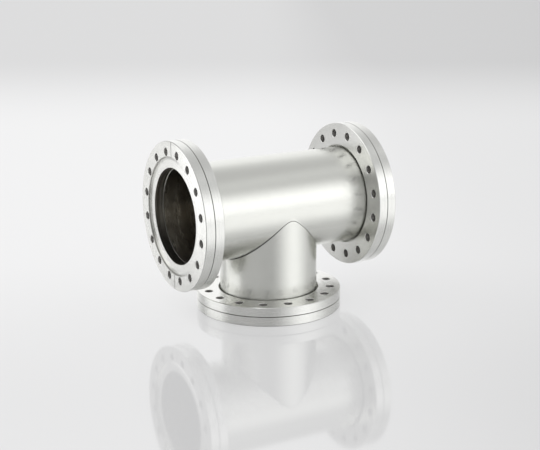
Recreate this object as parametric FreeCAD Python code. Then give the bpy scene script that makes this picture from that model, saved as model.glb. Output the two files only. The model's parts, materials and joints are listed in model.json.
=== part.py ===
"""Vacuum flange tee: a straight run tube, a branch tube of the same stock, and three knife-edge flanges.

The tee stands on the branch flange. The origin is the centre of that flange's sealing face, +Z goes up
the branch to the run axis, and the run lies along X. Millimetres.

The left and the branch flange are each turned from one piece. The right flange can be turned on its
tube: a bolt ring runs on a knife-edge insert, and a split wire in a groove keeps the ring on it.
Each flange is modelled in a port frame, with its sealing face at z = 0 and +z pointing out of the port,
and is then placed on its port.
"""
import FreeCAD, Part

import math
import os

Vector = FreeCAD.Vector
UP = Vector(0, 0, 1)
ALONG_RUN = Vector(1, 0, 0)
ACROSS_RUN = Vector(0, 1, 0)

# Reach of the three ports
RUN_REACH = 108.5            # branch axis to either run flange's sealing face
BRANCH_REACH = 108.5         # run axis to the branch flange's sealing face

# Tube stock, the same for the run and the branch
TUBE_OD = 101.6
TUBE_WALL = 2.0

# Saddle joint of the branch on the run
SADDLE_ROOT_GAP = 0.6        # gap under the fish-mouthed branch end, filled by the weld
SADDLE_WELD_SINK = 0.15      # how far the weld lies below the branch tube's outer surface
RUN_OPENING_LEDGE = 0.4      # how far the run's opening stays inside the branch's bore

# Flange, from the tube outwards: each radius follows from the one inside it
REAR_GAP = 1.8               # open gap round the tube, gives the 105.2 mm rear counterbore
KNIFE_LAND = 8.85            # bore wall to knife tip, gives the 115.3 mm knife edge
GASKET_LAND = 2.7            # knife tip to pocket wall, gives the 120.7 mm gasket pocket
POCKET_TO_HOLE = 0.55        # wall between the pocket and a bolt hole
BOLT_HOLE_DIAMETER = 8.4     # for M8 or 5/16 in bolts, on a 130.2 mm circle
HOLE_TO_RIM = 6.7            # wall between a bolt hole and the rim, gives the 152 mm flange
BOLT_COUNT = 16

# Flange, from the sealing face inwards
FLANGE_THICKNESS = 19.8
KNIFE_TIP_DEPTH = 0.65
KNIFE_SLOPE_DEGREES = 20.0   # slope of the pocket floor from the tip down to the pocket wall
PORT_LAND_DEPTH = 2.0        # flat between the knife edge and the bore
WEB_DEPTH = 9.5              # floor of the rear counterbore
NECK_LENGTH = 2.0            # thin lip behind the web, which the tube is welded to

# Butt weld between neck and tube
TUBE_WELD_WIDTH = 1.0
TUBE_WELD_CROWN = 0.3        # height of the bead inside and outside the wall
TUBE_WELD_TOP = 0.5          # width of the bead's flat top

# Grooves and broken edges
RIM_GROOVE_WIDTH = 0.9       # fine V turned round the middle of each rim
RIM_GROOVE_DEPTH = 0.6
LEAK_GROOVE_WIDTH = 1.2      # half-round leak-check groove from the pocket to the rim
LEAK_GROOVE_COUNT = 2
RIM_CHAMFER = 0.5
REAR_CHAMFER = 0.4
POCKET_CHAMFER = 0.2
BORE_CHAMFER = 0.5
HOLE_CHAMFER = 0.3

# Rotatable flange
INSERT_LIP = 1.2             # pocket floor that the insert carries outside the knife tip
RING_CLEARANCE = 0.15        # running clearance between insert and bolt ring, on the radius
RING_FLOAT = 0.1             # play between the insert's back and the ring's shoulder
WIRE_DIAMETER = 1.5          # split wire that keeps the ring on the insert
WIRE_DEPTH = 6.0             # of the wire's centre below the sealing face
WIRE_CLEARANCE = 0.15        # all round the wire in its groove
WIRE_SPLIT = 3.0

CUT_OVERRUN = 1.0            # how far a cutter runs past what it cuts

tube_radius = TUBE_OD / 2
bore_radius = tube_radius - TUBE_WALL
counterbore_radius = tube_radius + REAR_GAP
tip_radius = bore_radius + KNIFE_LAND
pocket_radius = tip_radius + GASKET_LAND
bolt_circle_radius = pocket_radius + POCKET_TO_HOLE + BOLT_HOLE_DIAMETER / 2
rim_radius = bolt_circle_radius + BOLT_HOLE_DIAMETER / 2 + HOLE_TO_RIM
insert_radius = tip_radius + INSERT_LIP
ring_bore_radius = insert_radius + RING_CLEARANCE

neck_end = WEB_DEPTH + NECK_LENGTH
tube_end = neck_end + TUBE_WELD_WIDTH
hole_pitch = 360 / BOLT_COUNT


def floor_depth(radius):
    """Depth of the sloped pocket floor at a radius outside the knife tip."""
    return KNIFE_TIP_DEPTH + (radius - tip_radius) * math.tan(math.radians(KNIFE_SLOPE_DEGREES))


def turned(outline):
    """Turn a closed outline of (radius, depth) points about the port axis into one solid."""
    points = [Vector(radius, 0, -depth) for radius, depth in outline]
    face = Part.Face(Part.makePolygon(points + points[:1]))
    return face.revolve(Vector(), UP, 360)


def upright_pipe(outer, inner, start, length):
    """Straight upright pipe between two radii, from its start height."""
    foot = Vector(0, 0, start)
    return Part.makeCylinder(outer, length, foot).cut(Part.makeCylinder(inner, length, foot))


def on_port(shape, centre, outward, sideways):
    """Place a port-frame shape: +z turns to outward and +x to sideways."""
    placed = shape.copy()
    frame = FreeCAD.Rotation(sideways, outward.cross(sideways), outward, "ZXY")
    placed.Placement = FreeCAD.Placement(centre, frame)
    return placed


# Outline stretches that the three flanges share, each a list of (radius, depth)

def port_land():
    """Neck end, bore, its broken mouth, the flat land and the inner side of the knife edge."""
    return [(bore_radius, neck_end),
            (bore_radius, PORT_LAND_DEPTH + BORE_CHAMFER),
            (bore_radius + BORE_CHAMFER, PORT_LAND_DEPTH),
            (tip_radius, PORT_LAND_DEPTH),
            (tip_radius, KNIFE_TIP_DEPTH)]


def pocket_to_rear():
    """Pocket floor's outer end, pocket wall, sealing face, grooved rim, rear face and counterbore mouth."""
    middle = FLANGE_THICKNESS / 2
    return [(pocket_radius, floor_depth(pocket_radius)),
            (pocket_radius, POCKET_CHAMFER),
            (pocket_radius + POCKET_CHAMFER, 0),
            (rim_radius - RIM_CHAMFER, 0),
            (rim_radius, RIM_CHAMFER),
            (rim_radius, middle - RIM_GROOVE_WIDTH / 2),
            (rim_radius - RIM_GROOVE_DEPTH, middle),
            (rim_radius, middle + RIM_GROOVE_WIDTH / 2),
            (rim_radius, FLANGE_THICKNESS - RIM_CHAMFER),
            (rim_radius - RIM_CHAMFER, FLANGE_THICKNESS),
            (counterbore_radius + REAR_CHAMFER, FLANGE_THICKNESS),
            (counterbore_radius, FLANGE_THICKNESS - REAR_CHAMFER)]


def web_to_neck():
    """Back of the web and outside of the weld neck."""
    return [(tube_radius, WEB_DEPTH), (tube_radius, neck_end)]


def bolt_hole_cutter():
    """One through hole with both mouths broken."""
    radius = BOLT_HOLE_DIAMETER / 2
    mouth = radius + HOLE_CHAMFER + CUT_OVERRUN
    return turned([(0, -CUT_OVERRUN), (mouth, -CUT_OVERRUN), (radius, HOLE_CHAMFER),
                   (radius, FLANGE_THICKNESS - HOLE_CHAMFER), (mouth, FLANGE_THICKNESS + CUT_OVERRUN),
                   (0, FLANGE_THICKNESS + CUT_OVERRUN)])


def leak_groove_cutter():
    """Half-round groove along +x, from just inside the pocket wall out through the rim."""
    start = pocket_radius - CUT_OVERRUN / 2
    return Part.makeCylinder(LEAK_GROOVE_WIDTH / 2, rim_radius + CUT_OVERRUN - start,
                             Vector(start, 0, 0), ALONG_RUN)


def around(cutter, count, first_angle):
    """Copies of a cutter turned evenly about the port axis."""
    copies = []
    for index in range(count):
        copy = cutter.copy()
        copy.rotate(Vector(), UP, first_angle + index * 360 / count)
        copies.append(copy)
    return copies


def bolted(blank):
    """Cut the bolt holes, which straddle the x axis, and the leak-check grooves on that axis."""
    hole = bolt_hole_cutter()
    hole.translate(Vector(bolt_circle_radius, 0, 0))
    holes = around(hole, BOLT_COUNT, hole_pitch / 2)
    return blank.cut(holes + around(leak_groove_cutter(), LEAK_GROOVE_COUNT, 0))


def fixed_flange():
    """Flange turned from one piece, with knife edge, bolt holes and weld neck."""
    rear = [(counterbore_radius, WEB_DEPTH)]
    return bolted(turned(port_land() + pocket_to_rear() + rear + web_to_neck()))


def wire_groove(radius, side):
    """Square groove for the wire, in the insert (side -1) or the ring (side 1), front to back."""
    half_width = WIRE_DIAMETER / 2 + WIRE_CLEARANCE
    floor = wire_circle_radius() + side * half_width
    return [(radius, WIRE_DEPTH - half_width), (floor, WIRE_DEPTH - half_width),
            (floor, WIRE_DEPTH + half_width), (radius, WIRE_DEPTH + half_width)]


def wire_circle_radius():
    """The wire's centre line runs half in the insert and half in the ring."""
    return (insert_radius + ring_bore_radius) / 2


def knife_edge_insert():
    """Welded inner piece of the rotatable flange: web, knife edge, wire groove and weld neck."""
    edge = [(insert_radius, floor_depth(insert_radius))]
    back = [(insert_radius, WEB_DEPTH - REAR_CHAMFER), (insert_radius - REAR_CHAMFER, WEB_DEPTH)]
    return turned(port_land() + edge + wire_groove(insert_radius, -1) + back + web_to_neck())


def bolt_ring():
    """Turning outer piece of the rotatable flange: pocket wall, bolt holes and the pulling shoulder."""
    shoulder = WEB_DEPTH + RING_FLOAT
    inside = [(counterbore_radius, shoulder), (ring_bore_radius, shoulder)]
    inside += reversed(wire_groove(ring_bore_radius, 1))
    inside += [(ring_bore_radius, floor_depth(ring_bore_radius))]
    return bolted(turned(pocket_to_rear() + inside))


def retaining_wire():
    """Round wire, split once, lying in the groove between insert and ring."""
    radius = wire_circle_radius()
    section = Part.makeCircle(WIRE_DIAMETER / 2, Vector(radius, 0, -WIRE_DEPTH), ACROSS_RUN)
    open_angle = math.degrees(WIRE_SPLIT / radius)
    return Part.Face(Part.Wire([section])).revolve(Vector(), UP, 360 - open_angle)


def tube_weld():
    """Ring of weld between neck and tube, with a low crown inside and outside the wall."""
    top_start = neck_end + (TUBE_WELD_WIDTH - TUBE_WELD_TOP) / 2
    top_end = top_start + TUBE_WELD_TOP
    crown_out, crown_in = tube_radius + TUBE_WELD_CROWN, bore_radius - TUBE_WELD_CROWN
    return turned([(tube_radius, neck_end), (crown_out, top_start), (crown_out, top_end),
                   (tube_radius, tube_end),
                   (bore_radius, tube_end), (crown_in, top_end), (crown_in, top_start),
                   (bore_radius, neck_end)])


def run_cylinder(radius, reach):
    """Cylinder about the run axis, reaching the same way to both sides of the branch."""
    return Part.makeCylinder(radius, 2 * reach, Vector(-reach, 0, BRANCH_REACH), ALONG_RUN)


def quartered(shape):
    """The same shape, fused from one quarter and its mirror images, with its middle at x = y = 0.

    A saddle edge that goes all round a tube as one curve upsets the kernel's volume and mass figures.
    """
    size = 2 * (RUN_REACH + BRANCH_REACH)
    quarter = shape.common(Part.makeBox(size, size, size, Vector(0, 0, -size / 2)))
    half = quarter.fuse(quarter.mirror(Vector(), ALONG_RUN))
    return half.fuse(half.mirror(Vector(), ACROSS_RUN))


def run_tube():
    """Straight tube between the two run welds, with the branch's opening cut in its lower wall."""
    reach = RUN_REACH - tube_end
    tube = run_cylinder(tube_radius, reach).cut(run_cylinder(bore_radius, reach))
    return quartered(tube.cut(Part.makeCylinder(bore_radius - RUN_OPENING_LEDGE, BRANCH_REACH)))


def branch_tube():
    """Tube from the branch weld up to the fish-mouthed end round the run."""
    tube = upright_pipe(tube_radius, bore_radius, tube_end, BRANCH_REACH - tube_end)
    return quartered(tube.cut(run_cylinder(tube_radius + SADDLE_ROOT_GAP, TUBE_OD)))


def saddle_weld():
    """Weld that fills the root gap all round the saddle."""
    band = upright_pipe(tube_radius - SADDLE_WELD_SINK, bore_radius, 0, BRANCH_REACH)
    filled = band.common(run_cylinder(tube_radius + SADDLE_ROOT_GAP, TUBE_OD))
    return quartered(filled.cut(run_cylinder(tube_radius, TUBE_OD)))


def build():
    """Every node of the tee, by name, in its place, with the ring's holes in line with the left flange's."""
    axis_centre = Vector(0, 0, BRANCH_REACH)
    left = (axis_centre - ALONG_RUN * RUN_REACH, -ALONG_RUN, UP)
    right = (axis_centre + ALONG_RUN * RUN_REACH, ALONG_RUN, UP)
    branch = (Vector(), -UP, ALONG_RUN)
    flange, weld = fixed_flange(), tube_weld()
    return {
        "run_tube": run_tube(),
        "branch_tube": branch_tube(),
        "saddle_weld": saddle_weld(),
        "left_flange": on_port(flange, *left),
        "left_tube_weld": on_port(weld, *left),
        "branch_flange": on_port(flange, *branch),
        "branch_tube_weld": on_port(weld, *branch),
        "right_flange_insert": on_port(knife_edge_insert(), *right),
        "right_tube_weld": on_port(weld, *right),
        "right_retaining_wire": on_port(retaining_wire(), *right),
        "right_bolt_ring": on_port(bolt_ring(), *right),
    }


os.makedirs("parts", exist_ok=True)
for name, shape in build().items():
    shape.exportStep(f"parts/{name}.step")
    print(f"{name}: {len(shape.Solids)} solid, {shape.Volume / 1000:.2f} cm3, valid {shape.isValid()}")
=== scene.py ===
# %% [markdown]
# # A vacuum flange tee in bright stainless steel
#
# The real object is two lengths of thin tube, welded into a T, with a thick turned flange on each of the
# three ports. It stands on its branch flange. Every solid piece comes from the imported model, which is
# already at its real size, so this lesson is about what makes bare metal look like metal: the marks that
# the lathe and the polishing belt leave, the dull inside of the tubes, the welds, and above all what the
# metal has around it to reflect.

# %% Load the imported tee
import json
import math

import bpy
import numpy as np
from mathutils import Matrix, Vector


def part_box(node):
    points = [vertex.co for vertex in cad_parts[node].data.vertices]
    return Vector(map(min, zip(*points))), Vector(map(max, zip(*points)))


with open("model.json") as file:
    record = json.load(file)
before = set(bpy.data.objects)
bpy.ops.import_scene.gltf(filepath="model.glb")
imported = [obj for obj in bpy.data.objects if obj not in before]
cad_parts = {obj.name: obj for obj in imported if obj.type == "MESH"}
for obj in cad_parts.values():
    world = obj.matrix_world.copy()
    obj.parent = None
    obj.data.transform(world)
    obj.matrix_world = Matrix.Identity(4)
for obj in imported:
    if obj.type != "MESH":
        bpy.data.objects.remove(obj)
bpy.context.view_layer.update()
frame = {"nodes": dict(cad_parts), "record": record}
nodes = frame["nodes"]
print("pieces:", ", ".join(sorted(nodes)))

# %% [markdown]
# ## Sizes
#
# The finishes below change with the distance from a tube's axis and from a sealing face: a rim is finished
# otherwise than a bore. Those distances are read from the loaded pieces, so that they stay true if the
# model changes. Only what can't be read from a box, such as the wall of the tube, is written here.

# %% Sizes read from the frame
MM = 0.001
TUBE_WALL = 2.0 * MM
ROOT_GAP = 0.6 * MM          # between the branch tube's end and the run, filled by the saddle weld
EDGE_CHAMFER = 0.5 * MM      # of the rims' corners
POCKET_RADIUS = 60.35 * MM   # of the gasket pocket in each face
LEAK_GROOVE_WIDTH = 1.2 * MM

left_low, left_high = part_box("left_flange")
branch_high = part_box("branch_flange")[1]
tube_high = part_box("branch_tube")[1]
left_bolts = next(m["dims"] for m in frame["record"]["mounts"] if m["name"] == "left_bolts")

REACH = -left_low.x                                  # branch axis to the run flanges' faces
RUN_HEIGHT = (left_low.z + left_high.z) / 2          # of the run's axis above the branch face
RIM_RADIUS = branch_high.x
FLANGE_THICKNESS = branch_high.z
TUBE_RADIUS = tube_high.x
BORE_RADIUS = TUBE_RADIUS - TUBE_WALL
BOLT_CIRCLE_RADIUS = left_bolts["pcd_mm"] / 2 * MM
BOLT_COUNT = left_bolts["count"]
HOLE_RADIUS = left_bolts["hole_r_mm"] * MM
print(f"run axis {RUN_HEIGHT / MM:.1f} mm up, rims {RIM_RADIUS / MM:.1f} mm in radius")
print(f"tube {TUBE_RADIUS / MM:.1f} mm in radius, flanges {FLANGE_THICKNESS / MM:.1f} mm thick")

# %% [markdown]
# ## The camera
#
# The photograph looks down a little at the tee from its front left, with a long lens, so the three flanges
# keep nearly true proportions. The place and angles were found by lining up the bolt holes, rims and seams
# with the photograph. A camera looks along its own -Z, so it is tipped up from straight down, then turned.

# %% Put the camera where the photograph was taken
CAMERA_PLACE = (-0.5767, -1.0393, 0.4021)
CAMERA_AZIMUTH = math.radians(-29.128)
CAMERA_ELEVATION = math.radians(14.922)
CAMERA_ROLL = math.radians(-0.386)
SENSOR_WIDTH = 36.0
FOCAL_LENGTH = 78.444
FARTHEST_SEEN = 200.0
QUARTER_TURN = math.pi / 2

camera_data = bpy.data.cameras.new("camera")
camera_data.sensor_fit = "HORIZONTAL"
camera_data.sensor_width = SENSOR_WIDTH
camera_data.lens = FOCAL_LENGTH
camera_data.clip_end = FARTHEST_SEEN
camera = bpy.data.objects.new("camera", camera_data)
camera.matrix_world = (Matrix.Translation(CAMERA_PLACE)
                       @ Matrix.Rotation(CAMERA_AZIMUTH, 4, "Z")
                       @ Matrix.Rotation(QUARTER_TURN - CAMERA_ELEVATION, 4, "X")
                       @ Matrix.Rotation(CAMERA_ROLL, 4, "Z"))
bpy.context.scene.collection.objects.link(camera)
bpy.context.scene.camera = camera
bpy.context.scene.view_settings.view_transform = "Standard"
bpy.context.scene.cycles.max_bounces = 16
bpy.context.scene.cycles.glossy_bounces = 12
print(f"camera {math.dist(CAMERA_PLACE, (0, 0, RUN_HEIGHT)):.3f} m from the middle of the run")

# %% [markdown]
# ## Shader maths as Python
#
# A finish is a formula over the surface: how far a point is from an axis, whether it is inside the bore,
# how rough it is there. Nodes hold such formulas badly, so one small class wraps a socket. Python's own
# operators on it add Math nodes, in either order, and every other node comes from its one method `add`.

# %% A socket that can be calculated with
class Socket:
    """A shader socket: + - * / on it add Math nodes, and add() adds any other node to its tree."""

    def __init__(self, tree, link=None):
        self.tree = tree
        self.link = link

    def add(self, kind, settings=(), values=(), output=0):
        """Add a node, set its settings, then its sockets to values or links, and return one output."""
        node = self.tree.nodes.new(kind)
        for name, value in dict(settings).items():
            setattr(node, name, value)
        for name, value in dict(values).items():
            if isinstance(value, Socket):
                self.tree.links.new(value.link, node.inputs[name])
            else:
                node.inputs[name].default_value = value
        return Socket(self.tree, node.outputs[output] if node.outputs else None)

    def math(self, operation, *others):
        """A Math node on this socket and others."""
        return self.add("ShaderNodeMath", {"operation": operation}, dict(enumerate((self, *others))))

    def __add__(self, other):
        return self.math("ADD", other)

    def __sub__(self, other):
        return self.math("SUBTRACT", other)

    def __mul__(self, other):
        return self.math("MULTIPLY", other)

    def __truediv__(self, other):
        return self.math("DIVIDE", other)

    def __rsub__(self, other):
        return self.add("ShaderNodeMath", {"operation": "SUBTRACT"}, {0: other, 1: self})

    __radd__ = __add__
    __rmul__ = __mul__

    def smooth(self, low, high):
        """Rises gently from 0 at low to 1 at high, or falls where low is the larger."""
        return self.add("ShaderNodeMapRange", {"interpolation_type": "SMOOTHSTEP"},
                        {"Value": self, "From Min": low, "From Max": high})

    def split(self):
        """The three parts of a vector."""
        node = self.tree.nodes.new("ShaderNodeSeparateXYZ")
        self.tree.links.new(self.link, node.inputs[0])
        return [Socket(self.tree, part) for part in node.outputs]

    def dot(self, vector):
        """Dot product of a vector socket with a constant vector."""
        return self.add("ShaderNodeVectorMath", {"operation": "DOT_PRODUCT"},
                        {0: self, 1: vector}, "Value")


def vector(x, y, z):
    """Three sockets or numbers as one vector; x is a socket."""
    return x.add("ShaderNodeCombineXYZ", (), {0: x, 1: y, 2: z})


def mix_colours(factor, first, second):
    """First colour where the factor is 0, second where it is 1."""
    return factor.add("ShaderNodeMix", {"data_type": "RGBA"}, {0: factor, 6: first, 7: second}, 2)


def empty_tree(owner):
    """Clear the node tree of a world or a material, and return a socket that nodes can be added to."""
    owner.use_nodes = True
    owner.node_tree.nodes.clear()
    return Socket(owner.node_tree)


WHITE = (1, 1, 1, 1)
print("shader maths is ready")

# %% [markdown]
# ## The studio
#
# Polished steel has hardly any colour of its own: what the eye reads as steel is a blurred picture of the
# room. In the photograph the room is a pale studio. Its walls are middling grey, its ceiling a little
# lighter, and the wall behind the tee is bright. One large soft light at the front right draws the bright
# line along the run. A narrow one stands low at the left and a broad one high at the left, and fainter ones
# stand high at the right, high behind the tee and low at the back right. Above the camera it is darker. All
# of them are patches of the world with soft edges, and cast no hard shadows.

# %% The world as a soft studio
ROOM_LEVEL = 0.52
CEILING_LEVEL = 0.65
CEILING_EDGE = (0.47, 0.87)  # the wall turns into the ceiling between these sines of the elevation
BACK_LEVEL = 0.64            # added to the room's
BACK_PATCH = (70, 0, (8, 52), (40, 62))
# A level to add, then a patch: the azimuth and elevation of its middle, and its inner and outer half width
# and half height, all in degrees. Azimuth counts from +X towards +Y, and the camera looks towards 61.
PATCHES = {
    "key light": (1.16, -57, 14, (0, 51), (4, 38)),
    "side light": (0.45, 142, 0, (5, 34), (3, 15)),
    "high at the right": (0.22, -38, 56, (20, 45), (2, 9)),
    "high at the left": (0.90, 168, 60, (25, 45), (12, 22)),
    "high behind": (0.15, 48, 44, (12, 40), (4, 18)),
    "dark above the camera": (-0.30, -136, 43, (15, 38), (8, 21)),
    "low at the back right": (0.15, -8, 12, (12, 32), (8, 25)),
}


def soft_light(direction, azimuth, elevation, width, height):
    """1 in a patch of the sky, fading from an inner to an outer half width and half height, in degrees."""
    turn, tip = math.radians(azimuth), math.radians(elevation)
    ahead = (math.cos(turn) * math.cos(tip), math.sin(turn) * math.cos(tip), math.sin(tip))
    aside = (-math.sin(turn), math.cos(turn), 0)
    upward = (-math.cos(turn) * math.sin(tip), -math.sin(turn) * math.sin(tip), math.cos(tip))
    across = direction.dot(aside).math("ABSOLUTE").math("ARCTAN2", direction.dot(ahead))
    high = direction.dot(upward).math("ABSOLUTE").math("ARCSINE")
    return (across.smooth(math.radians(width[1]), math.radians(width[0]))
            * high.smooth(math.radians(height[1]), math.radians(height[0])))


world = bpy.data.worlds.new("studio")
sky = empty_tree(world)
direction = sky.add("ShaderNodeTexCoord", output="Generated")
overhead = direction.split()[2].smooth(*CEILING_EDGE)
back = soft_light(direction, *BACK_PATCH)
level = ROOM_LEVEL + (CEILING_LEVEL - ROOM_LEVEL) * overhead + BACK_LEVEL * back * (1 - overhead)
for added, *patch in PATCHES.values():
    level = level + added * soft_light(direction, *patch)
studio = sky.add("ShaderNodeBackground", (), {"Color": WHITE, "Strength": level})
sky.add("ShaderNodeOutputWorld", (), {"Surface": studio})
bpy.context.scene.world = world
print("studio:", ", ".join(f"{name} {patch[0]:+.2f}" for name, patch in PATCHES.items()))

# %% [markdown]
# A lamp in the world is endlessly far away, so all three flanges would catch it alike. In the photograph
# the left flange's face is brighter than the right flange's back, although both are turned the same way:
# there is a light close by, at the left, just outside the picture. Three area lamps make it. They stand on
# the floor in one place, the widest the lowest, so their light falls off in steps upward and to the sides.
# The camera can't see them, so they hide nothing when the tee is looked at from behind them.

# %% A lit panel close to the tee
PANEL_AZIMUTH = math.radians(151)
PANEL_DISTANCE = 0.60
PANELS = ((0.34, 0.24, 0.74), (0.52, 0.16, 1.00), (0.70, 0.10, 0.40))  # width, height and brightness
WHITE_LAMP = 4.0             # power for each square metre of a lamp of brightness 1, which looks white

panels = []
for width, tall, bright in PANELS:
    panel_data = bpy.data.lights.new("panel", "AREA")
    panel_data.shape = "RECTANGLE"
    panel_data.size = width
    panel_data.size_y = tall
    panel_data.energy = bright * WHITE_LAMP * width * tall
    panel = bpy.data.objects.new("panel", panel_data)
    panel.visible_camera = False
    upright = Matrix.Rotation(QUARTER_TURN, 4, "Z") @ Matrix.Rotation(QUARTER_TURN, 4, "X")
    panel.matrix_world = (Matrix.Rotation(PANEL_AZIMUTH, 4, "Z")
                          @ Matrix.Translation((PANEL_DISTANCE, 0, tall / 2)) @ upright)
    bpy.context.scene.collection.objects.link(panel)
    panels.append(panel)
shining = panels[0].matrix_world.to_3x3() @ Vector((0, 0, -1))
print("the panel shines towards", [round(part, 2) for part in shining])

# %% [markdown]
# ## The floor
#
# The tee stands on a pale, slightly glossy board that runs back out of the picture. A disc is a surface of
# two parameters, radius and angle, so its whole grid of points is made at once with numpy, with four
# corners to each face.
#
# There are two discs. The camera sees the upper one, and the lamps of the panel don't light it, or a pool of
# light and the panel's mirror image would lie across it in views from other sides. The metal sees the other
# one, just below, which all the lamps light, and which brightens the metal's undersides.

# %% Two discs of floor
FLOOR_RADIUS = 15.0
FLOOR_RINGS = 12
FLOOR_SPOKES = 96
FIRST_RING = 0.001           # not 0, so that the innermost faces have four corners too
METAL_FLOOR_DROP = 0.2 * MM


def disc_mesh(name, height):
    """Flat disc whose faces look up: each joins two rings and two spokes, and the rings close."""
    reach, turn = np.meshgrid(np.linspace(FIRST_RING, 1, FLOOR_RINGS) ** 2 * FLOOR_RADIUS,
                              np.linspace(2 * np.pi, 0, FLOOR_SPOKES, endpoint=False), indexing="ij")
    points = np.stack([reach * np.cos(turn), reach * np.sin(turn), reach * 0 + height], -1)
    ring = np.arange(FLOOR_RINGS - 1)[:, None] * FLOOR_SPOKES
    spoke = np.arange(FLOOR_SPOKES)[None, :]
    next_spoke = (spoke + 1) % FLOOR_SPOKES
    corners = [ring + spoke, ring + next_spoke,
               ring + FLOOR_SPOKES + next_spoke, ring + FLOOR_SPOKES + spoke]
    faces = np.stack(corners, -1).reshape(-1, 4)
    mesh = bpy.data.meshes.new(name)
    mesh.vertices.add(points.size // 3)
    mesh.vertices.foreach_set("co", points.astype(np.float32).ravel())
    mesh.loops.add(faces.size)
    mesh.loops.foreach_set("vertex_index", faces.astype(np.int32).ravel())
    mesh.polygons.add(len(faces))
    mesh.polygons.foreach_set("loop_start", np.arange(0, faces.size, 4, dtype=np.int32))
    mesh.polygons.foreach_set("use_smooth", np.ones(len(faces), bool))
    mesh.update(calc_edges=True)
    disc = bpy.data.objects.new(name, mesh)
    bpy.context.scene.collection.objects.link(disc)
    return disc


floor = disc_mesh("floor", 0.0)
metal_floor = disc_mesh("floor_for_metal", -METAL_FLOOR_DROP)
metal_floor.visible_camera = False
for rays in ("diffuse", "glossy", "transmission", "shadow"):
    setattr(floor, "visible_" + rays, False)

not_lit = bpy.data.collections.new("not_lit_by_panel")
not_lit.objects.link(floor)
not_lit.collection_objects[0].light_linking.link_state = "EXCLUDE"
for panel in panels:
    panel.light_linking.receiver_collection = not_lit
print(f"floor: {len(floor.data.polygons)} faces, looking {floor.data.polygons[0].normal.z:+.0f} in z")

# %% [markdown]
# The board's tone is painted shade: it darkens far away, close in front and to the right, and the metal sees
# it darker in front. It mirrors a little: the Fresnel node gives the share, which rises as the look at the
# board becomes flatter.
# Its index is below 1, so the share is whole from 44 degrees off the upright on, and a cap for each disc
# keeps it down. A share of the upper disc's matt tone glows, and the tee casts no shadow on that share,
# because the photograph's shadows are very faint.

# %% Floor finish
FLOOR_COLOUR = (0.92, 0.92, 0.925, 1.0)
SHADED_COLOUR = (0.60, 0.60, 0.605, 1.0)
AHEAD = (0.485, 0.875, 0)    # the way the camera looks, along the floor
TO_RIGHT = (0.875, -0.485, 0)
TO_FRONT = (0, -1, 0)
# Each shade is a way, the amount of it, and the distances that way between which it comes in, in metres.
CAMERA_SHADES = ((AHEAD, 0.72, 1.0, 2.2), (TO_RIGHT, 0.31, -0.05, 0.35), (AHEAD, 0.37, 0.2, -0.3))
METAL_SHADES = ((TO_FRONT, 0.65, 0.09, 0.20),)
GLOSS_INDEX = 1 / 1.45
GLOSS_ROUGHNESS = 0.06
GLOW_LEVEL = 0.94


def board_finish(name, shades, gloss_gain, gloss_cap, glow_share):
    """Pale board: matt and shaded, with a glowing share, under a gloss that stays below its cap."""
    material = bpy.data.materials.new(name)
    board = empty_tree(material)
    place = board.add("ShaderNodeTexCoord", output="Object")
    # The shades are painted shade in the board's tone.
    shade = sum(amount * place.dot(way).smooth(start, end) for way, amount, start, end in shades)
    tone = mix_colours(shade.math("MINIMUM", 1.0), FLOOR_COLOUR, SHADED_COLOUR)
    fresnel = board.add("ShaderNodeFresnel", (), {"IOR": GLOSS_INDEX})
    gloss = (fresnel * gloss_gain).math("MINIMUM", gloss_cap)
    matt = board.add("ShaderNodeBsdfDiffuse", (), {"Color": tone})
    glow = board.add("ShaderNodeEmission", (), {"Color": tone, "Strength": GLOW_LEVEL})
    body = board.add("ShaderNodeMixShader", (), {0: glow_share, 1: matt, 2: glow})
    mirror = board.add("ShaderNodeBsdfGlossy", (), {"Color": WHITE, "Roughness": GLOSS_ROUGHNESS})
    surface = board.add("ShaderNodeMixShader", (), {0: gloss, 1: body, 2: mirror})
    board.add("ShaderNodeOutputMaterial", (), {"Surface": surface})
    return material


camera_board = board_finish("pale_board", CAMERA_SHADES, gloss_gain=1.0, gloss_cap=0.18, glow_share=0.65)
metal_board = board_finish("pale_board_for_metal", METAL_SHADES, gloss_gain=3.0, gloss_cap=0.75,
                           glow_share=0.0)
floor.data.materials.append(camera_board)
metal_floor.data.materials.append(metal_board)
print("floor finishes:", camera_board.name, metal_board.name)

# %% [markdown]
# ## Finishes of turned and drawn steel
#
# A lathe leaves rings round the axis, on a flange's flat faces as well as on its rim. Measured from the
# port's axis, a face changes with the radius and a rim with the depth, so the sum of both counts the rings
# on either. The belt that polishes a tube also runs round it. Light spreads across such marks and not
# along them, which is why each finish uses fine bump rather than plain roughness alone. It is what draws
# the bright and dark fans on the flat faces.

# %% Coordinates about a port's axis
def new_finish(name):
    """A new material, a socket to add nodes from, and the three coordinates of the surface point."""
    material = bpy.data.materials.new(name)
    start = empty_tree(material)
    return material, start, start.add("ShaderNodeTexCoord", output="Object").split()


def about_run(x, y, z):
    """Distance along the run, radius from its axis, and the two parts of the way outward."""
    rise = z - RUN_HEIGHT
    radius = (y * y + rise * rise).math("SQRT")
    return x, radius, y / radius, rise / radius


def about_branch(x, y, z):
    """Height up the branch, radius from its axis, and the two parts of the way outward."""
    radius = (x * x + y * y).math("SQRT")
    return z, radius, y / radius, x / radius


def band(value, low, high, edge):
    """1 between low and high, fading to 0 over an edge on both sides."""
    return value.smooth(low - edge, low) * value.smooth(high + edge, high)


def ring_marks(count, outward, pitch, patches, detail=2.0):
    """Noise that changes quickly across the rings and slowly round them.

    count is the distance across the rings, pitch their spacing, and patches how often a ring changes.
    """
    place = vector(count / pitch, outward[0] * patches, outward[1] * patches)
    return place.add("ShaderNodeTexNoise", (), {"Vector": place, "Scale": 1.0, "Detail": detail})


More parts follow.
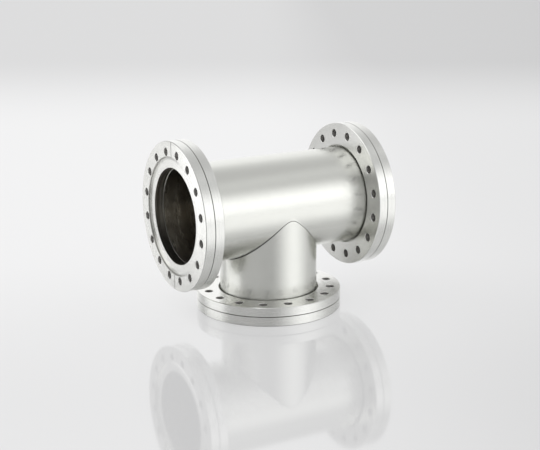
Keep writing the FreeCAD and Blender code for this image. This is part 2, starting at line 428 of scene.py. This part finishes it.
def metal(start, colour, roughness, height, depth):
    """Close a metal finish: base colour, roughness, and a bump of the given depth in metres."""
    normal = start.add("ShaderNodeBump", (), {"Strength": 1.0, "Distance": depth, "Filter Width": 0.1,
                                              "Height": height})
    shader = start.add("ShaderNodeBsdfPrincipled", (), {
        "Base Color": colour, "Metallic": 1.0, "Roughness": roughness, "Normal": normal})
    start.add("ShaderNodeOutputMaterial", (), {"Surface": shader})


print("finish helpers are ready")

# %% [markdown]
# The tubes are polished outside and left as drawn inside, where they are dull and brownish, and painted
# shade darkens them towards one side. Where they meet, the photograph shows a fine dark seam, a joint line
# with painted shade that widens it at the left. Part of it lies on the weld and part on the branch tube, so
# its place is a formula: how far a point is above the tube's saddle-shaped end.

# %% Tube finish and the seam at the saddle
BRIGHT_TUBE = (0.713, 0.718, 0.683, 1.0)
DULL_BORE = (0.40, 0.375, 0.325, 1.0)
BORE_PAINTED_SHADE = (0.24, 0.225, 0.195, 1.0)
BORE_SHADE_SPAN = (0.1, 0.8)    # parts of the way outward between which painted shade darkens the bore
WALL_TURNS = (0.4 * MM, 0.9 * MM)  # depths in the wall, from the bore, between which the finish changes
TUBE_MARKS = 0.25 * MM       # spacing of the fine rings
TUBE_BANDS = 6.0 * MM        # and of the broad ones
TUBE_PATCHES = 5.0
TUBE_DETAIL = 3.0
TUBE_MARK_DEPTH = 0.06 * MM
END_MARKS = 1.8              # added to the marks' depth, as a share of it, by brushing after welding
END_BRUSHED = (16 * MM, 7 * MM)  # distances from a flange between which the brushing comes in
BORE_ROUGHNESS = 0.28
POLISH = 0.03                # taken off the roughness outside
TUBE_SPREAD = 0.05           # how far each kind of ring varies the roughness
# The seam is a dark joint line, with painted shade that widens it at the left.
SEAM_JOINT_AND_SHADE = (0.05, 0.048, 0.045, 1.0)
SEAM_BELOW = 0.35 * MM       # how far the dark seam, here painted shade, reaches down the tube where it is widest
SEAM_FADES = (-1.1 * SEAM_BELOW, -0.8 * SEAM_BELOW)
SEAM_WIDEST = -0.5 * TUBE_RADIUS  # along the run, where it has its full width; it starts from the middle


def above_saddle(x, y, z):
    """Distance above the branch tube's saddle-shaped edge, square to that edge."""
    radius = (x * x + y * y).math("SQRT")
    forward = y / radius * TUBE_RADIUS
    below_axis = ((TUBE_RADIUS + ROOT_GAP) ** 2 - forward * forward).math("SQRT")
    slope = x / radius * forward / below_axis
    return (z - RUN_HEIGHT + below_axis) / (1 + slope * slope).math("SQRT")


def no_seam(x, y, z):
    """No seam on the run tube."""
    return 0 * x


def seam_and_shade_on_branch(x, y, z):
    """The dark seam's lower half, painted shade that is widest at the left, where the tubes meet steeply."""
    at_left = x.smooth(0.0, SEAM_WIDEST)
    return above_saddle(x, y, z).smooth(*SEAM_FADES) * at_left


def tube_finish(name, about, from_flange, seam):
    """Belt-polished outside with rings round the tube, and a dull brownish inside with painted shade on one
    side.

    from_flange gives the distance to the nearest flange from the place along the axis, and seam is 1
    on the dark line along the saddle.
    """
    material, start, place = new_finish(name)
    along, radius, *outward = about(*place)
    brushed = from_flange(along).smooth(*END_BRUSHED)
    outside = radius.smooth(*(BORE_RADIUS + depth for depth in WALL_TURNS))
    fine = ring_marks(along, outward, TUBE_MARKS, TUBE_PATCHES, TUBE_DETAIL)
    broad = ring_marks(along, outward, TUBE_BANDS, patches=1.5)
    # Painted shade darkens the bore towards one side.
    inside = mix_colours(outward[1].smooth(*BORE_SHADE_SPAN), DULL_BORE, BORE_PAINTED_SHADE)
    # The seam's dark joint line and its painted shade lie over the bright tube.
    colour = mix_colours(outside, inside, mix_colours(seam(*place), BRIGHT_TUBE, SEAM_JOINT_AND_SHADE))
    roughness = (BORE_ROUGHNESS - POLISH * outside
                 + TUBE_SPREAD * (fine - 0.5) + TUBE_SPREAD * (broad - 0.5))
    metal(start, colour, roughness, fine * (1 + END_MARKS * brushed), TUBE_MARK_DEPTH)
    return material


run_steel = tube_finish("run_tube_steel", about_run,
                        lambda along: REACH - FLANGE_THICKNESS - along.math("ABSOLUTE"), no_seam)
branch_steel = tube_finish("branch_tube_steel", about_branch,
                           lambda along: along - FLANGE_THICKNESS, seam_and_shade_on_branch)
print("tube finishes:", run_steel.name, branch_steel.name)

# %% [markdown]
# What a spot on a flange looks like depends on the cut it lies in. The first function below gives the
# distance to a bolt hole, and each of the others is 1 in its own cut and 0 elsewhere. The finish then lays
# one colour over another, cut by cut.

# %% The cuts in a flange
BLEND = 0.1 * MM             # over which one finish turns into the next
FINE_BLEND = 0.05 * MM
HOLE_MARGIN = 0.02 * MM      # how far the finish of a hole or bore reaches past its wall
BORE_MARGIN = 0.1 * MM
RIM_GROOVE_WIDTH = 0.6 * MM  # of the painted shade line in the rim's groove
RIM_GROOVE_REACH = 0.7 * MM  # in from the rim
LEAK_GROOVE_REACH = 0.7 * MM  # in from the face
CORNER_WIDTH = 0.20 * MM     # of the painted shade line at the foot of the pocket's wall
CORNER_BLEND = 0.12 * MM
BELOW_POCKET = (3.0 * MM, 2.0 * MM)  # depths, past the pocket's own, between which that line fades out


def from_bolt_hole(radius, outward):
    """Distance from the axis of the nearest bolt hole: the circle is folded until one hole is left."""
    step = 2 * math.pi / BOLT_COUNT
    angle = outward[1].math("ARCTAN2", outward[0])
    turn = ((angle / step).math("FLOORED_MODULO", 1.0) - 0.5) * step
    across = radius * turn.math("COSINE") - BOLT_CIRCLE_RADIUS
    along = radius * turn.math("SINE")
    return (across * across + along * along).math("SQRT")


def in_rim_groove(radius, depth):
    """The fine groove round the middle of the rim, where painted shade lies."""
    low = (FLANGE_THICKNESS - RIM_GROOVE_WIDTH) / 2
    foot = RIM_RADIUS - RIM_GROOVE_REACH
    return radius.smooth(foot - 2 * BLEND, foot) * band(depth, low, low + RIM_GROOVE_WIDTH, BLEND)


def in_leak_groove(radius, depth, outward):
    """The two leak-check grooves, from the pocket to the rim, where painted shade lies."""
    aside = (radius * outward[0]).math("ABSOLUTE")
    return (aside.smooth(LEAK_GROOVE_WIDTH / 2, LEAK_GROOVE_WIDTH / 2 - BLEND)
            * band(depth, FINE_BLEND, LEAK_GROOVE_REACH, FINE_BLEND)
            * radius.smooth(POCKET_RADIUS + 2 * BLEND, POCKET_RADIUS + 4 * BLEND))


def in_pocket_corner(radius, depth):
    """The corner between the pocket's floor and its wall, where painted shade lies."""
    return (band(radius, POCKET_RADIUS - CORNER_WIDTH, POCKET_RADIUS, CORNER_BLEND)
            * depth.smooth(BLEND, 3 * BLEND) * depth.smooth(*BELOW_POCKET))


def on_broken_edge(radius, depth):
    """The chamfer between the sealing face and the rim, where a dark reflection is painted."""
    corner = RIM_RADIUS - EDGE_CHAMFER
    return ((radius - depth).smooth(corner - FINE_BLEND, corner)
            * depth.smooth(EDGE_CHAMFER + FINE_BLEND, EDGE_CHAMFER))


print("cuts are ready")

# %% Flange finish
BRIGHT_RIM = (0.735, 0.738, 0.715, 1.0)
BRIGHT_FACE = (0.775, 0.775, 0.75, 1.0)
HOLE_MOUTH = (0.76, 0.75, 0.735, 1.0)
HOLE_PAINTED_SHADE = (0.30, 0.29, 0.275, 1.0)
HOLE_SHADE_DEPTHS = (3.2 * MM, 5.0 * MM)  # depths in a hole between which painted shade darkens it
# Light streaks in the neck are painted highlights, and its shaded side is painted shade.
NECK_HIGHLIGHT_STREAK = (0.70, 0.68, 0.64, 1.0)
NECK_DARK = (0.36, 0.345, 0.31, 1.0)
NECK_SHADE = (0.16, 0.155, 0.14, 1.0)
NECK_STREAKS = 2.5 * MM
STREAK_EDGES = (0.35, 0.65)
NECK_DARKENS = (0.0, -0.75)  # parts of the way outward between which the neck falls into shade
# Painted shade in the rim's groove.
RIM_GROOVE_SHADE = (0.20, 0.195, 0.18, 1.0)
# Painted shade in the leak-check grooves.
LEAK_GROOVE_SHADE = (0.12, 0.118, 0.11, 1.0)
# Painted shade in the pocket's corner.
POCKET_CORNER_SHADE = (0.46, 0.455, 0.44, 1.0)
# A painted dark reflection on the chamfer.
EDGE_PAINTED_REFLECTION = (0.42, 0.42, 0.41, 1.0)
FACE_MARKS = 0.22 * MM       # spacing of the fine rings
FACE_BANDS = 3.0 * MM        # and of the broad ones
FACE_MARK_DEPTH = 0.09 * MM
FACE_ROUGHNESS = 0.20
HOLE_ROUGHER = 0.25          # added to it in the bolt holes
NECK_ROUGHER = 0.12          # and in the neck
FACE_SPREAD = 0.06           # how far each kind of ring varies the roughness


def flange_finish(name, about, face, into):
    """Turned steel: rings on faces and rim, dull in the bolt holes and the neck, painted shade in the
    grooves.

    face is the sealing face's place along the axis, and into is 1 or -1, the way into the port.
    """
    material, start, place = new_finish(name)
    along, radius, *outward = about(*place)
    depth = (along - face) * into
    turned = ring_marks(radius + depth, outward, FACE_MARKS, patches=1.2, detail=3.0)
    broad = ring_marks(radius + depth, outward, FACE_BANDS, patches=2.0)
    streak = ring_marks(depth, outward, NECK_STREAKS, patches=0.6)

    hole_edge = HOLE_RADIUS + HOLE_MARGIN
    in_hole = from_bolt_hole(radius, outward).smooth(hole_edge + BLEND, hole_edge)
    from_mouth = depth.math("MINIMUM", FLANGE_THICKNESS - depth)
    # Painted shade darkens each bolt hole deep inside.
    hole_colour = mix_colours(from_mouth.smooth(*HOLE_SHADE_DEPTHS), HOLE_MOUTH, HOLE_PAINTED_SHADE)

    bore_edge = BORE_RADIUS + BORE_MARGIN
    in_neck = radius.smooth(bore_edge + 2 * BLEND, bore_edge)
    # Painted highlight streaks in the neck, and painted shade on one side of it.
    neck_colour = mix_colours(streak.smooth(*STREAK_EDGES), NECK_DARK, NECK_HIGHLIGHT_STREAK)
    neck_colour = mix_colours(outward[1].smooth(*NECK_DARKENS), neck_colour, NECK_SHADE)

    face_edge = RIM_RADIUS - EDGE_CHAMFER
    colour = mix_colours(radius.smooth(face_edge, face_edge - BLEND), BRIGHT_RIM, BRIGHT_FACE)
    for cut, cut_colour in ((in_hole, hole_colour), (in_neck, neck_colour),
                            (in_rim_groove(radius, depth), RIM_GROOVE_SHADE),
                            (in_leak_groove(radius, depth, outward), LEAK_GROOVE_SHADE),
                            (in_pocket_corner(radius, depth), POCKET_CORNER_SHADE),
                            (on_broken_edge(radius, depth), EDGE_PAINTED_REFLECTION)):
        colour = mix_colours(cut, colour, cut_colour)
    roughness = (FACE_ROUGHNESS + HOLE_ROUGHER * in_hole + NECK_ROUGHER * in_neck
                 + FACE_SPREAD * (turned - 0.5) + FACE_SPREAD * (broad - 0.5))
    metal(start, colour, roughness, turned, FACE_MARK_DEPTH)
    return material


left_steel = flange_finish("left_flange_steel", about_run, -REACH, 1)
right_steel = flange_finish("right_flange_steel", about_run, REACH, -1)
base_steel = flange_finish("branch_flange_steel", about_branch, 0.0, 1)
print("flange finishes:", left_steel.name, right_steel.name, base_steel.name)

# %% [markdown]
# The welds inside the ports are left as they came from the torch, rippled and duller than the tube, with
# painted light high on the run's welds and painted shade below. The one at the saddle is ground and polished
# with the tube, but for the dark seam along the branch tube's edge, a joint line partly in painted shade.

# %% Weld finish
# Painted light high on the run's welds, and painted shade below.
WELD_PAINTED_LIGHT = (0.55, 0.54, 0.50, 1.0)
WELD_SHADE = (0.22, 0.215, 0.20, 1.0)
WELD_LIGHT_HEIGHTS = (RUN_HEIGHT + 0.2 * TUBE_RADIUS, RUN_HEIGHT + 0.6 * TUBE_RADIUS)  # heights between which the painted light comes in
WELD_RIPPLES = 900.0         # in a metre
WELD_MARK_DEPTH = 0.05 * MM
WELD_SPREAD = 0.15           # how far the ripples vary the roughness
SEAM_LINE = 0.6 * MM         # how far the seam's dark joint line, partly painted shade, reaches up the weld
SEAM_FULL = 0.7              # the share of it that is wholly dark
SADDLE_ROUGHNESS = 0.22
SEAM_ROUGHER = 0.3


def weld_finish(name, roughness):
    """Weld metal: fine uneven ripples, painted shade but for painted light on the upper part of the run's
    welds.
    """
    material, start, place = new_finish(name)
    colour = mix_colours(place[2].smooth(*WELD_LIGHT_HEIGHTS), WELD_SHADE, WELD_PAINTED_LIGHT)
    grain = start.add("ShaderNodeTexNoise", (), {"Vector": vector(*place), "Scale": WELD_RIPPLES,
                                                 "Detail": 2.0})
    metal(start, colour, roughness + WELD_SPREAD * (grain - 0.5), grain, WELD_MARK_DEPTH)
    return material


def seam_finish(name):
    """Ground saddle weld: tube finish, but for a dark joint line and painted shade at the branch tube's
    edge.
    """
    material, start, place = new_finish(name)
    in_line = above_saddle(*place).smooth(SEAM_LINE, SEAM_LINE * SEAM_FULL)
    height, _, *outward = about_branch(*place)
    fine = ring_marks(height, outward, TUBE_MARKS, TUBE_PATCHES, TUBE_DETAIL)
    # A dark joint line with painted shade along the branch tube's edge.
    colour = mix_colours(in_line, BRIGHT_TUBE, SEAM_JOINT_AND_SHADE)
    metal(start, colour, SADDLE_ROUGHNESS + SEAM_ROUGHER * in_line, fine, TUBE_MARK_DEPTH)
    return material


weld_steel = weld_finish("tube_weld_steel", roughness=0.38)
seam_steel = seam_finish("saddle_weld_steel")
wire_steel = weld_finish("spring_wire_steel", roughness=0.30)
print("weld finishes:", weld_steel.name, seam_steel.name, wire_steel.name)

# %% Give each piece its finish
FINISHES = {
    "run_tube": run_steel,
    "branch_tube": branch_steel,
    "saddle_weld": seam_steel,
    "left_flange": left_steel,
    "left_tube_weld": weld_steel,
    "branch_flange": base_steel,
    "branch_tube_weld": weld_steel,
    "right_flange_insert": right_steel,
    "right_tube_weld": weld_steel,
    "right_retaining_wire": wire_steel,
    "right_bolt_ring": right_steel,
}
for name, material in FINISHES.items():
    nodes[name].data.materials.clear()
    nodes[name].data.materials.append(material)
print(f"{len(FINISHES)} pieces have their finish")
